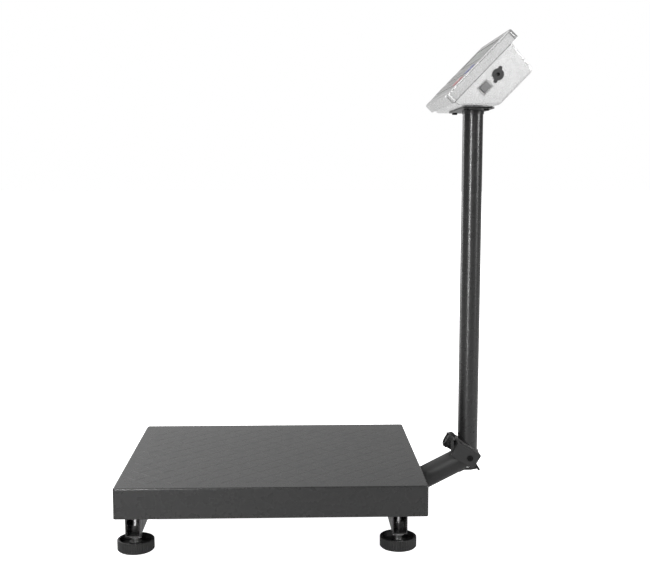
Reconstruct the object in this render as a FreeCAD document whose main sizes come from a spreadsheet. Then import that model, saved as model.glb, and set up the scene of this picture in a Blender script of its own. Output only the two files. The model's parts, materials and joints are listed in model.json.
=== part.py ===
import FreeCAD, Part
import math
import os
import re
import Sketcher

# Platform shipping scale. Millimetres, +Z up, the display looks towards -Y, the
# column stands at the rear (+Y). The origin is on the floor, under the middle of
# the overall bounding box.

DIMENSIONS = {
    # platform tray
    "tray_wide": 400, "tray_long": 500, "tray_top": 113, "tray_mid": -83.4,
    "skirt_tall": 50, "tray_skin": 2, "tray_corner": 5,
    "tray_edge": 2.5,
    "notch_wide": 60, "notch_tall": 26,
    # base frame
    "tube_wide": 24, "tube_tall": 40, "tube_wall": 2, "tube_long": 380, "tube_base": 30.5,
    "front_tube": -303.9, "rear_tube": 122.1,
    "beam_wide": 50, "beam_tall": 20, "beam_base": 33,
    # levelling feet
    "foot_side": 160, "pad_radius": 30, "pad_tall": 18, "pad_floor": 9, "pad_rim": 3.5,
    "pad_hub": 10, "pad_hub_top": 13.5, "stud_seat": 6.5,
    "stud_radius": 6, "stud_top": 52, "thread_gap": 0.06, "hex_flats": 19, "hex_tall": 10,
    "rib_radius": 1.1, "rib_count": 48,
    # load cell and what it carries
    "cell_long": 150, "cell_wide": 34, "cell_tall": 26, "cell_base": 57, "cell_well": 9,
    "well_pitch": 24, "spacer_long": 40, "bolt_radius": 4, "bolt_pitch": 22, "bolt_side": 9,
    "bolt_head": 6.5, "bolt_head_tall": 8, "bolt_gap": 0.1, "bolt_grip": 16, "bolt_socket": 6,
    "arm_wide": 30, "arm_long": 370, "arm_tall": 18, "arm_offset": 150, "frame_wall": 2,
    "rubber_radius": 14, "rubber_gap": 0.2, "rubber_side": 165,
    # folding joint: u runs down the mitre to the rear, v stands square to it
    "pin_y": 261.7, "pin_z": 108.4, "mitre": 31, "pin_radius": 4, "pin_gap": 0.05,
    "pin_head": 5, "pin_head_tall": 1.4, "clip_thick": 1, "clip_radius": 5.2, "pin_past": 1.8,
    "pin_dimple": 2, "pin_dimple_deep": 1.2,
    "plate": 3, "outer_half": 31, "inner_half": 27.6, "joint_gap": 0.3,
    "cheek_front": -32, "cheek_rear": 14.6, "cheek_low": -13.5, "cheek_high": 14.5,
    "flange_half": 22, "flange_front": -31, "flange_low": -3.5,
    "web_low": 8.1, "web_front": -25.2, "web_rear": 2.4, "inner_rear": 10.4, "inner_low": -12.5,
    "inner_step_u": 8.6, "inner_step_v": 6.2, "lip_low": -1,
    "port_radius": 5.5, "port_u": -12,
    "horn_toe": -31, "horn_tip_u": -45.5, "horn_tip_v": 10.3,
    "horn_back_u": -41.3, "horn_back_v": 12.4, "horn_root_u": -33.2, "horn_root_v": 2,
    # stub tube
    "stub_radius": 20, "stub_wall": 2, "stub_rise": 27.2, "stub_drop": 2.6, "stub_cut": 7.8,
    "stub_far": 190, "tail_in": 8, "tail_out": 11,
    # fold stop
    "rod_radius": 2.2, "rod_half": 31, "rod_y": 15.4, "rod_z": -19.9,
    # lock screw
    "lock_v": 5, "lock_radius": 4, "lock_gap": 0.1, "dog_radius": 2.8, "dog_long": 1.5,
    "lock_tail": 45, "knob_back": 36.8, "knob_front": 48, "knob_radius": 14.8,
    "knob_waist": 13.2, "knob_flute": 1.3, "knob_flutes": 24, "washer_radius": 6.3,
    "washer_thick": 1.2, "knob_recess": 9.5, "knob_hollow": 3.4,
    # column
    "pole_radius": 17.5, "pole_wall": 1.8, "pole_top": 711.2,
    "collar_radius": 18.8, "collar_tall": 5, "collar_gap": 0.05,
    "seat_half": 75, "seat_front": 231.3, "seat_rear": 284.5, "seat_thick": 2.2,
    "seat_port": 9, "seat_screw": 2.5, "seat_screw_head": 4.5, "seat_screw_tall": 3,
    "seat_screw_x": 62, "seat_screw_front": 240.1, "seat_screw_back": 273.1, "seat_screw_up": 8,
    # indicator head: y runs up the front face, z stands out of it
    "head_y": 246.5, "head_z": 780.5, "head_tilt": 46,
    "bezel_half": 125, "bezel_up": 74.5, "bezel_deep": 17, "bezel_corner": 9, "bezel_edge": 3,
    "bezel_skin": 3.5,
    "shell_half": 119, "shell_wall": 2.5, "shell_round": 9, "shell_side_round": 3,
    "shell_top_y": 60, "shell_back_y": 55, "shell_back": 73, "shell_low_y": -22.1,
    "shell_toe_y": -67.6, "shell_toe": 25.9, "shell_end_y": -69.5,
    "film_half": 117, "film_up": 66, "film_thick": 1,
    "window_half": 92, "window_low": 14, "window_high": 54, "window_thick": 1.6,
    "window_ledge": 3, "fit_gap": 0.2,
    "module_half": 86, "module_front": 4,
    "key_wide": 25, "key_tall": 20, "key_pitch_x": 31, "key_pitch_y": 27, "key_row": -11.5,
    "key_proud": 1.2, "key_flange": 1.4, "key_flange_thick": 1.2, "key_round": 2.5,
    "key_gap": 0.4, "key_stem": 3, "key_sink": 5.8,
    "board_half": 107, "board_low": -58, "board_high": 53, "board_front": 8.6, "board_thick": 1.6,
    "tact_half": 3, "tact_tall": 1.5, "header_half": 6, "header_tall": 6, "header_y": -9,
    "battery_wide": 90, "battery_up": 55, "battery_deep": 40, "battery_x": -56,
    "battery_y": 18, "battery_front": 26,
    "boss_x": 112, "boss_high": 46, "boss_low": -34, "boss_radius": 3.6, "column_radius": 4.4,
    "column_deep": 54.4,
    "screw_radius": 1.6, "screw_gap": 0.15, "screw_head": 2.7, "screw_seat": 29, "screw_tip": 9,
    "screw_head_tall": 2.2, "well_radius": 3,
    "switch_y": -18.8, "switch_z": 36.3, "switch_frame_y": 22, "switch_frame_z": 17,
    "switch_proud": 1.4, "switch_deep": 18, "rocker_y": 15, "rocker_z": 11.6,
    "rocker_proud": 1.6, "rocker_sunk": 6, "rocker_tilt": 8, "rocker_gap": 0.7,
    "rocker_pin": 1.5, "trunnion": 1.2, "trunnion_in": 0.5,
    "socket_y": 9.4, "socket_z": 36.6, "socket_radius": 9.5, "socket_proud": 3.2,
    "socket_body": 6.5, "socket_deep": 14, "socket_bore": 3, "socket_pin": 1,
    "ear_radius": 3.2, "ear_proud": 2.4, "ear_y": 9.8, "ear_z": 4.4,
    # signal cable
    "cable_radius": 2.5, "cable_bend": 28, "cable_exit": 64, "cable_low": 56, "cable_rise_y": 259.1,
    "cable_port": 4,
}

doc = FreeCAD.newDocument("platform_scale")
sheet = doc.addObject("Spreadsheet::Sheet", "Dims")
for row, (alias, size) in enumerate(DIMENSIONS.items(), start=1):
    sheet.set(f"A{row}", alias)
    sheet.set(f"B{row}", str(size))
    sheet.setAlias(f"B{row}", alias)
spare = doc.addObject("Spreadsheet::Sheet", "Spare")
doc.recompute()

WORD = re.compile(r"[a-z][a-z_]*")
UP = FreeCAD.Vector(0, 0, 1)
ACROSS = FreeCAD.Vector(1, 0, 0)
nodes = []


def cells(formula):
    """Spells out which words of a formula are cells of the sheet."""
    return WORD.sub(lambda m: f"Dims.{m[0]}" if m[0] in DIMENSIONS else m[0], str(formula))


def number(formula):
    """The present value of a formula of the sheet's cells, worked out in a spare cell."""
    spare.set("A1", "=" + cells(formula))
    spare.recompute()
    return float(spare.get("A1"))


def bind(item, prop, formula):
    item.setExpression(prop, cells(formula))


def place(item, where, turn=None):
    """Binds an object's position to three formulas, after giving it its rotation."""
    item.Placement = FreeCAD.Placement(FreeCAD.Vector(), turn or FreeCAD.Rotation())
    for axis, formula in zip("xyz", where):
        bind(item, f"Placement.Base.{axis}", formula)


def keep(item, label):
    item.Label = label
    nodes.append(item)
    return item


ALONG_X = FreeCAD.Rotation(FreeCAD.Vector(0, 1, 0), 90)
ALONG_Y = FreeCAD.Rotation(ACROSS, -90)
LEVEL = FreeCAD.Placement()
PIN = FreeCAD.Vector(0, number("pin_y"), number("pin_z"))
AT_PIN = FreeCAD.Placement(PIN, FreeCAD.Rotation())
MITRE = FreeCAD.Placement(PIN, FreeCAD.Rotation(ACROSS, -number("mitre")))
HEAD = FreeCAD.Placement(
    FreeCAD.Vector(0, number("head_y"), number("head_z")),
    FreeCAD.Rotation(ACROSS, number("head_tilt")),
)


class Piece:
    """A PartDesign body built from primitives and sketches whose sizes are formulas."""

    def __init__(self, label, frame=LEVEL):
        self.body = doc.addObject("PartDesign::Body", "Body_" + label)
        self.body.Placement = frame
        self.label = label
        self.count = 0

    def name(self, word):
        self.count += 1
        return f"{self.label}_{word}_{self.count}"

    def box(self, x, y, z, cut=False, turn=None):
        """A block between pairs of formulas."""
        kind = "PartDesign::SubtractiveBox" if cut else "PartDesign::AdditiveBox"
        item = self.body.newObject(kind, self.name("block"))
        for prop, (low, high) in zip(("Length", "Width", "Height"), (x, y, z)):
            bind(item, prop, f"({high}) - ({low})")
        place(item, (x[0], y[0], z[0]))
        if turn:
            item.Placement.Rotation = turn
        self.body.Tip = item
        return self

    def rod(self, radius, where, length, turn=None, cut=False):
        """A round bar from a point, along Z or along a turned Z."""
        kind = "PartDesign::SubtractiveCylinder" if cut else "PartDesign::AdditiveCylinder"
        item = self.body.newObject(kind, self.name("round"))
        bind(item, "Radius", radius)
        bind(item, "Height", length)
        place(item, where, turn)
        self.body.Tip = item
        return self

    def hexagon(self, flats, where, length, turn=None, cut=False):
        """A hexagonal bar from a point."""
        kind = "PartDesign::SubtractivePrism" if cut else "PartDesign::AdditivePrism"
        item = self.body.newObject(kind, self.name("hex"))
        item.Polygon = 6
        bind(item, "Circumradius", f"({flats}) / sqrt(3)")
        bind(item, "Height", length)
        place(item, where, turn)
        self.body.Tip = item
        return self

    def plane(self, role):
        return next(p for p in self.body.Origin.OriginFeatures if p.Role == role)

    def outline(self, role, corners):
        """A closed sketch through corners, each held by a horizontal and a vertical formula."""
        sketch = self.body.newObject("Sketcher::SketchObject", self.name("outline"))
        sketch.AttachmentSupport = [(self.plane(role), "")]
        sketch.MapMode = "FlatFace"
        spots = [FreeCAD.Vector(number(a), number(b), 0) for a, b in corners]
        last = len(spots) - 1
        for i, spot in enumerate(spots):
            sketch.addGeometry(Part.LineSegment(spot, spots[0 if i == last else i + 1]), False)
        for i, (across, up) in enumerate(corners):
            after = 0 if i == last else i + 1
            sketch.addConstraint(Sketcher.Constraint("Coincident", i, 2, after, 1))
            for kind, formula, value in (
                ("DistanceX", across, spots[i].x),
                ("DistanceY", up, spots[i].y),
            ):
                spot = sketch.addConstraint(Sketcher.Constraint(kind, -1, 1, i, 1, value))
                sketch.setExpression(f"Constraints[{spot}]", cells(formula))
        sketch.Visibility = False
        return sketch

    def pad(self, role, corners, half, cut=False):
        """An outline carried the same distance to both sides of its plane."""
        sketch = self.outline(role, corners)
        kind = "PartDesign::Pocket" if cut else "PartDesign::Pad"
        item = self.body.newObject(kind, self.name("pad"))
        item.Profile = sketch
        item.Midplane = True
        bind(item, "Length", f"2 * ({half})")
        self.body.Tip = item
        return self

    def turned(self, corners, turn_axis="V_Axis"):
        """An outline on the XZ plane turned once round."""
        sketch = self.outline("XZ_Plane", corners)
        item = self.body.newObject("PartDesign::Revolution", self.name("turned"))
        item.Profile = sketch
        item.ReferenceAxis = (sketch, [turn_axis])
        item.Angle = 360
        self.body.Tip = item
        return self

    def round_edges(self, radius, test):
        """Rounds the edges whose middle passes a test."""
        doc.recompute()
        base = self.body.Tip
        names = [
            f"Edge{i}"
            for i, edge in enumerate(base.Shape.Edges, start=1)
            if test(edge, edge.CenterOfMass)
        ]
        item = self.body.newObject("PartDesign::Fillet", self.name("round_over"))
        item.Base = (base, names)
        bind(item, "Radius", radius)
        self.body.Tip = item
        return self

    def ring_of(self, count):
        """Repeats the last feature round the body's Z axis."""
        last = self.body.Tip
        item = self.body.newObject("PartDesign::PolarPattern", self.name("ring"))
        item.Originals = [last]
        item.Axis = (self.plane("Z_Axis"), [""])
        item.Angle = 360
        bind(item, "Occurrences", count)
        self.body.Tip = item
        return self

    def done(self):
        return keep(self.body, self.label)


def group(label, items):
    """Separate solids that share a node."""
    item = doc.addObject("Part::Compound", "Group_" + label)
    item.Links = items
    return keep(item, label)


def bar(radius, where, length, turn=None):
    item = doc.addObject("Part::Cylinder", "Bar")
    bind(item, "Radius", radius)
    bind(item, "Height", length)
    place(item, where, turn)
    return item


def block(x, y, z):
    item = doc.addObject("Part::Box", "Block")
    for prop, (low, high) in zip(("Length", "Width", "Height"), (x, y, z)):
        bind(item, prop, f"({high}) - ({low})")
    place(item, (x[0], y[0], z[0]))
    return item


def hex_bar(flats, where, length):
    item = doc.addObject("Part::Prism", "Hex")
    item.Polygon = 6
    bind(item, "Circumradius", f"({flats}) / sqrt(3)")
    bind(item, "Height", length)
    place(item, where)
    return item


def joined(items):
    item = doc.addObject("Part::MultiFuse", "Joined")
    item.Shapes = items
    item.Refine = True
    return item


def less(base, tool):
    item = doc.addObject("Part::Cut", "Less")
    item.Base = base
    item.Tool = tool
    return item


# ---------------------------------------------------------------- platform tray

def platform_tray():
    """A pressed steel pan, open below, with a notch in the rear skirt for the stub tube."""
    tray = Piece("platform_tray")
    side, front, rear = "tray_wide / 2", "tray_mid - tray_long / 2", "tray_mid + tray_long / 2"
    low = "tray_top - skirt_tall"
    tray.box((f"-{side}", side), (front, rear), (low, "tray_top"))
    tray.round_edges("tray_corner", lambda e, c: abs(c.z - number(low + " + skirt_tall / 2")) < 1)
    tray.round_edges("tray_edge", lambda e, c: abs(c.z - number("tray_top")) < 0.1)
    tray.box(
        (f"-{side} + tray_skin", f"{side} - tray_skin"),
        (f"{front} + tray_skin", f"{rear} - tray_skin"),
        (low, "tray_top - tray_skin"),
        cut=True,
    )
    tray.box(
        ("-notch_wide / 2", "notch_wide / 2"),
        (f"{rear} - 3 * tray_skin", f"{rear} + tray_skin"),
        (low, f"{low} + notch_tall"),
        cut=True,
    )
    tray.done()


# ------------------------------------------------------------------- base frame

def cross_tube(label, mid):
    """A rectangular tube, open at both ends, drilled for the feet and for the cable."""
    tube = Piece(label)
    half, top = "tube_long / 2", "tube_base + tube_tall"
    front, rear = f"{mid} - tube_wide / 2", f"{mid} + tube_wide / 2"
    tube.box((f"-{half}", half), (front, rear), ("tube_base", top))
    tube.box(
        (f"-{half} - 1", f"{half} + 1"),
        (f"{front} + tube_wall", f"{rear} - tube_wall"),
        ("tube_base + tube_wall", f"{top} - tube_wall"),
        cut=True,
    )
    for side in ("-foot_side", "foot_side"):
        tube.rod("stud_radius + thread_gap", (side, mid, "tube_base - 1"), "tube_wall + 2", cut=True)
    if mid == "rear_tube":
        tube.rod(
            "cable_port", ("0", f"{front} - 1", "cable_low"),
            "tube_wide + 2", ALONG_Y, cut=True,
        )
    tube.done()


def base_beam():
    """The box section that joins the cross tubes and carries the load cell."""
    beam = Piece("base_beam")
    half, top = "beam_wide / 2", "beam_base + beam_tall"
    front, rear = "front_tube + tube_wide / 2", "rear_tube - tube_wide / 2"
    beam.box((f"-{half}", half), (front, rear), ("beam_base", top))
    beam.box(
        (f"-{half} + tube_wall", f"{half} - tube_wall"),
        (f"{front} - 1", f"{rear} + 1"),
        ("beam_base + tube_wall", f"{top} - tube_wall"),
        cut=True,
    )
    for x in ("-bolt_side", "bolt_side"):
        for y in LOWER_BOLTS:
            beam.rod("bolt_radius + bolt_gap", (x, y, "beam_base - 1"), "beam_tall + 2", cut=True)
    beam.done()


def feet():
    """Four round pads, each with its levelling stud and a pair of nuts at the cross tube."""
    nuts = []
    spots = [
        (name, side, mid)
        for name, side in (("left", "-foot_side"), ("right", "foot_side"))
        for mid in ("front_tube", "rear_tube")
    ]
    for name, side, mid in spots:
        end = mid.replace("_tube", "")
        at = FreeCAD.Placement(
            FreeCAD.Vector(number(side), number(mid), 0), FreeCAD.Rotation()
        )
        bore = "stud_radius + thread_gap"
        pad = Piece(f"foot_pad_{end}_{name}", at)
        pad.turned([
            ("0", "0"), ("pad_radius - 2", "0"), ("pad_radius", "2"), ("pad_radius", "pad_tall - 1"),
            ("pad_radius - 1", "pad_tall"), ("pad_radius - pad_rim", "pad_tall"),
            ("pad_radius - pad_rim - 1", "pad_floor"), ("pad_hub + 1", "pad_floor"),
            ("pad_hub", "pad_hub_top"), (bore, "pad_hub_top"), (bore, "stud_seat"), ("0", "stud_seat"),
        ])
        pad.rod("rib_radius", ("pad_radius + rib_radius / 3", "0", "3"), "pad_tall", cut=True)
        pad.ring_of("rib_count")
        pad.done()
        stud = Piece(f"foot_stud_{end}_{name}", at)
        foot = "stud_seat + thread_gap"
        stud.turned([
            ("0", foot), ("stud_radius", foot), ("stud_radius", "stud_top - 1"),
            ("stud_radius - 1", "stud_top"), ("0", "stud_top"),
        ])
        stud.box(("-1", "1"), ("-stud_radius", "stud_radius"), ("stud_top - 2", "stud_top + 1"),
                 cut=True)
        stud.done()
        for low in ("tube_base - hex_tall", "tube_base + tube_wall"):
            nuts.append(less(
                hex_bar("hex_flats", (side, mid, low), "hex_tall"),
                bar(bore, (side, mid, f"{low} - 1"), "hex_tall + 2"),
            ))
    group("foot_nuts", nuts)


# -------------------------------------------------- load cell and what it carries

FAR = "cell_long / 2 - spacer_long / 2"
LOWER_BOLTS = [f"tray_mid - ({FAR}) {sign} bolt_pitch / 2" for sign in "-+"]
UPPER_BOLTS = [f"tray_mid + {FAR} {sign} bolt_pitch / 2" for sign in "-+"]
CELL_TOP = "cell_base + cell_tall"
BEAM_TOP = "beam_base + beam_tall"
FRAME_BASE = "tray_top - tray_skin - 6 - arm_tall"


def load_cell():
    """A binocular bar, bolted down at its front end and carrying the frame at its rear."""
    cell = Piece("load_cell")
    wide, half = "cell_wide / 2", "cell_long / 2"
    middle = "cell_base + cell_tall / 2"
    cell.box((f"-{wide}", wide), (f"tray_mid - {half}", f"tray_mid + {half}"),
             ("cell_base", CELL_TOP))
    for side in ("tray_mid - well_pitch / 2", "tray_mid + well_pitch / 2"):
        cell.rod("cell_well", (f"-{wide} - 1", side, middle), "cell_wide + 2", ALONG_X, cut=True)
    cell.box(
        (f"-{wide} - 1", f"{wide} + 1"),
        ("tray_mid - well_pitch / 2", "tray_mid + well_pitch / 2"),
        (f"{middle} - cell_well / 3", f"{middle} + cell_well / 3"),
        cut=True,
    )
    hole = "bolt_radius + bolt_gap"
    for x in ("-bolt_side", "bolt_side"):
        for y in LOWER_BOLTS:
            cell.rod(hole, (x, y, "cell_base - 1"), "bolt_grip + 2", cut=True)
        for y in UPPER_BOLTS:
            cell.rod(hole, (x, y, f"{CELL_TOP} - bolt_grip - 1"), "bolt_grip + 2", cut=True)
    cell.done()
    for label, mid, low, high, rows in (
        ("cell_spacer_lower", f"tray_mid - ({FAR})", BEAM_TOP, "cell_base", LOWER_BOLTS),
        ("cell_spacer_upper", f"tray_mid + {FAR}", CELL_TOP, FRAME_BASE, UPPER_BOLTS),
    ):
        spacer = Piece(label)
        spacer.box((f"-{wide}", wide), (f"{mid} - spacer_long / 2", f"{mid} + spacer_long / 2"),
                   (low, high))
        for x in ("-bolt_side", "bolt_side"):
            for y in rows:
                spacer.rod(hole, (x, y, f"{low} - 1"), "cell_tall", cut=True)
        spacer.done()


def cell_bolts():
    """Socket-head bolts: four up through the base beam, four down through the frame."""
    bolts = []
    for x in ("-bolt_side", "bolt_side"):
        for rows, seat, end, sign in (
            (LOWER_BOLTS, "beam_base", "cell_base + bolt_grip", 1),
            (UPPER_BOLTS, f"{FRAME_BASE} + frame_wall", f"{CELL_TOP} - bolt_grip", -1),
        ):
            for y in rows:
                if sign > 0:
                    head = bar("bolt_head", (x, y, f"{seat} - bolt_head_tall"), "bolt_head_tall")
                    shank = bar("bolt_radius", (x, y, seat), f"{end} - ({seat})")
                    key = hex_bar("bolt_socket", (x, y, f"{seat} - bolt_head_tall - 1"), "5")
                else:
                    head = bar("bolt_head", (x, y, seat), "bolt_head_tall")
                    shank = bar("bolt_radius", (x, y, end), f"{seat} - ({end})")
                    key = hex_bar("bolt_socket", (x, y, f"{seat} + bolt_head_tall - 4"), "5")
                bolts.append(less(joined([head, shank]), key))
    group("cell_bolts", bolts)


def upper_frame():
    """Two arms of box section across a centre beam, with the rubber rests of the tray."""
    frame = Piece("upper_frame")
    half, beam, top = "arm_long / 2", "beam_wide / 2", f"{FRAME_BASE} + arm_tall"
    arms = ("tray_mid - arm_offset", "tray_mid + arm_offset")
    wall = "frame_wall"
    for mid in arms:
        frame.box((f"-{half}", half), (f"{mid} - arm_wide / 2", f"{mid} + arm_wide / 2"),
                  (FRAME_BASE, top))
    frame.box((f"-{beam}", beam), arms, (FRAME_BASE, top))
    for mid in arms:
        frame.box(
            (f"-{half} - 1", f"{half} + 1"),
            (f"{mid} - arm_wide / 2 + {wall}", f"{mid} + arm_wide / 2 - {wall}"),
            (f"{FRAME_BASE} + {wall}", f"{top} - {wall}"),
            cut=True,
        )
    frame.box((f"-{beam} + {wall}", f"{beam} - {wall}"), arms,
              (f"{FRAME_BASE} + {wall}", f"{top} - {wall}"), cut=True)
    for x in ("-bolt_side", "bolt_side"):
        for y in UPPER_BOLTS:
            frame.rod("bolt_radius + bolt_gap", (x, y, f"{FRAME_BASE} - 1"), "4", cut=True)
            frame.rod("bolt_head + 1", (x, y, f"{top} - 3"), "4", cut=True)
    frame.done()
    rests = [
        bar("rubber_radius", (x, y, top), f"tray_top - tray_skin - rubber_gap - ({top})")
        for x in ("-rubber_side", "rubber_side")
        for y in arms
    ]
    group("tray_rests", rests)


# ------------------------------------------------------------------ folding joint

STUB_LEAN = 90 - number("stub_rise") - number("mitre")
UPRIGHT = FreeCAD.Rotation(ACROSS, number("mitre"))


STOP = (number("pin_y + rod_y"), number("pin_z + rod_z"))


def spot(frame, point):
    """A point of the whole object in a body's own coordinates, as formulas."""
    here = frame.inverse().multVec(FreeCAD.Vector(*point))
    return tuple(str(round(value, 4)) for value in here)


def stub_tube():
    """The raked tube behind the base, cut square to the floor at one end, mitred at the other."""
    stub = Piece("stub_tube", MITRE)
    rake = math.radians(number("stub_rise"))
    far = number("stub_far")
    foot = (
        0,
        number("pin_y") - far * math.cos(rake),
        number("pin_z - stub_drop") - far * math.sin(rake),
    )
    turn = FreeCAD.Rotation(ACROSS, -STUB_LEAN)
    stub.rod("stub_radius", spot(MITRE, foot), "stub_far + 40", turn)
    stub.box(("-30", "30"), ("-60", "60"), ("stub_cut", "80"), cut=True)
    stub.box(("-30", "30"), ("stub_cut", "80"), ("-80", "80"), cut=True)
    weld = (-40, number("rear_tube + tube_wide / 2") - 80, -60)
    cutter = stub.body.newObject("PartDesign::SubtractiveBox", stub.name("end"))
    cutter.Length, cutter.Width, cutter.Height = 80, 80, 160
    place(cutter, spot(MITRE, weld), UPRIGHT)
    stub.body.Tip = cutter
    tail = [
        ("1", "-33"), ("stub_cut", "-21.8"), ("12", "-19"), ("20.5", "-12"), ("24", "-7.5"),
        ("27", "-9"), ("26.5", "-13"), ("18", "-20.5"), ("stub_cut", "-26.6"), ("3", "-34"),
    ]
    stub.pad("YZ_Plane", tail, "tail_out")
    stub.pad("YZ_Plane", tail, "tail_in", cut=True)
    stub.rod("stub_radius - stub_wall", spot(MITRE, foot), "stub_far + 40", turn, cut=True)
    stub.rod("rod_radius + pin_gap", spot(MITRE, (-20, *STOP)), "40", ALONG_X, cut=True)
    stub.rod("pin_radius + pin_gap", ("-outer_half", "0", "0"), "2 * outer_half", ALONG_X, cut=True)
    stub.rod("port_radius", ("0", "port_u", "0"), "stub_cut + 1", cut=True)
    stub.done()


def fold_stop():
    rod = Piece("fold_stop_rod")
    rod.rod("rod_radius", ("-rod_half", "pin_y + rod_y", "pin_z + rod_z"), "2 * rod_half", ALONG_X)
    rod.done()


def lower_bracket():
    """Inner cheeks with forward horns, a web on the stub's mitre and a lip for the lock screw."""
    bracket = Piece("lower_hinge_bracket", MITRE)
    inner = "inner_half - plate"
    top = "web_low + plate"
    bracket.pad("YZ_Plane", [
        ("web_rear", top), ("inner_step_u", "inner_step_v"), ("inner_rear", "0"),
        ("inner_rear", "inner_low"), ("horn_toe", "inner_low"), ("horn_tip_u", "horn_tip_v"),
        ("horn_back_u", "horn_back_v"), ("horn_root_u", "horn_root_v"), ("horn_root_u + 3", top),
    ], "inner_half")
    bracket.box((f"-({inner})", inner), ("-60", "60"), ("-60", "60"), cut=True)
    bracket.box((f"-({inner})", inner), ("web_front", "web_rear"), ("web_low", top))
    bracket.box((f"-({inner})", inner), ("web_front", "web_front + plate"), ("lip_low", "web_low"))
    bracket.rod("port_radius", ("0", "port_u", "web_low - 1"), "plate + 2", cut=True)
    bracket.rod("dog_radius + joint_gap", ("0", "web_front - 1", "lock_v"), "plate + 2", ALONG_Y,
                cut=True)
    bracket.rod("pin_radius + pin_gap", ("-outer_half", "0", "0"), "2 * outer_half", ALONG_X,
                cut=True)
    bracket.done()


def upper_bracket():
    """Outer cheeks under a web that carries the column, with the tapped flange in front."""
    bracket = Piece("upper_hinge_bracket", MITRE)
    inner = "outer_half - plate"
    under = "cheek_high - plate"
    bracket.pad("YZ_Plane", [
        ("cheek_front", "cheek_high"), ("cheek_rear", "cheek_high"),
        ("cheek_rear", "cheek_low"), ("cheek_front", "cheek_low"),
    ], "outer_half")
    bracket.round_edges("2.5", lambda e, c: abs(e.Length - 2 * number("outer_half")) < 0.1)
    bracket.box((f"-({inner})", inner), ("-60", "60"), ("-60", under), cut=True)
    bracket.box(("-flange_half", "flange_half"), ("flange_front", "flange_front + plate"),
                ("flange_low", under))
    bracket.rod("port_radius", ("0", "port_u", f"{under} - 1"), "plate + 2", cut=True)
    bracket.rod("lock_radius + lock_gap", ("0", "flange_front - 1", "lock_v"), "plate + 2",
                ALONG_Y, cut=True)
    bracket.rod("pin_radius + pin_gap", ("-40", "0", "0"), "80", ALONG_X, cut=True)
    bracket.done()


def hinge_pin():
    """A headed pin held by a ring."""
    pin = Piece("hinge_pin")
    end = "outer_half + joint_gap"
    pin.rod("pin_radius", (f"-({end})", "pin_y", "pin_z"), f"2 * ({end}) + pin_past", ALONG_X)
    pin.rod("pin_head", (f"-({end}) - pin_head_tall", "pin_y", "pin_z"), "pin_head_tall", ALONG_X)
    pin.rod("pin_dimple", (f"{end} + pin_past - pin_dimple_deep", "pin_y", "pin_z"), "5", ALONG_X,
            cut=True)
    pin.done()
    ring = Piece("hinge_pin_ring")
    ring.rod("clip_radius", (end, "pin_y", "pin_z"), "clip_thick", ALONG_X)
    ring.rod("pin_radius + pin_gap", (f"{end} - 1", "pin_y", "pin_z"), "clip_thick + 2", ALONG_X,
             cut=True)
    ring.done()


def lock():
    """A hand knob on a dog-point screw; the dog drops into the lip of the lower bracket."""
    frame = MITRE.multiply(FreeCAD.Placement(
        FreeCAD.Vector(0, 0, number("lock_v")), FreeCAD.Rotation(ACROSS, 90)
    ))
    tip = "-flange_front - plate"
    knob = Piece("lock_knob", frame)
    bore = "lock_radius + thread_gap"
    knob.turned([
        (bore, "knob_back"), ("knob_waist", "knob_back"), ("knob_waist", "knob_back + 2.4"),
        ("knob_radius", "knob_back + 3.2"), ("knob_radius", "knob_front - 3"),
        ("knob_radius - 3", "knob_front"), ("knob_recess", "knob_front"),
        ("knob_recess", "knob_front - knob_hollow"), (bore, "knob_front - knob_hollow"),
    ])
    knob.rod("knob_flute", ("knob_radius + knob_flute / 3", "0", "knob_back + 2.8"), "20", cut=True)
    knob.ring_of("knob_flutes")
    knob.done()
    screw = Piece("lock_screw", frame)
    shoulder = f"{tip} + dog_long"
    screw.turned([
        ("0", tip), ("dog_radius - 0.5", tip), ("dog_radius", f"{tip} + 0.5"),
        ("dog_radius", shoulder), ("lock_radius", f"{shoulder} + 0.5"),
        ("lock_radius", "lock_tail"), ("lock_radius + 2.5", "lock_tail"),
        ("lock_radius + 2.5", "lock_tail + 1.6"), ("0", "lock_tail + 1.6"),
    ])
    screw.hexagon("4", ("0", "0", "lock_tail - 1"), "5", cut=True)
    screw.done()
    washer = Piece("lock_washer", frame)
    washer.rod("washer_radius", ("0", "0", "knob_back - joint_gap - washer_thick"), "washer_thick")
    washer.rod(bore, ("0", "0", "knob_back - 6"), "8", cut=True)
    washer.done()


# ------------------------------------------------------------------------- column

def pole():
    tube = Piece("pole_tube", AT_PIN)
    long = "pole_top - pin_z + 20"
    tube.rod("pole_radius", ("0", "0", "-20"), long)
    tube.rod("pole_radius - pole_wall", ("0", "0", "-21"), f"{long} + 2", cut=True)
    cutter = tube.body.newObject("PartDesign::SubtractiveBox", tube.name("mitre"))
    cutter.Length, cutter.Width, cutter.Height = 80, 120, 80
    below = MITRE.multVec(FreeCAD.Vector(-40, -60, number("cheek_high") - 80))
    place(cutter, spot(AT_PIN, below), FreeCAD.Rotation(ACROSS, -number("mitre")))
    tube.body.Tip = cutter
    tube.done()


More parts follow.
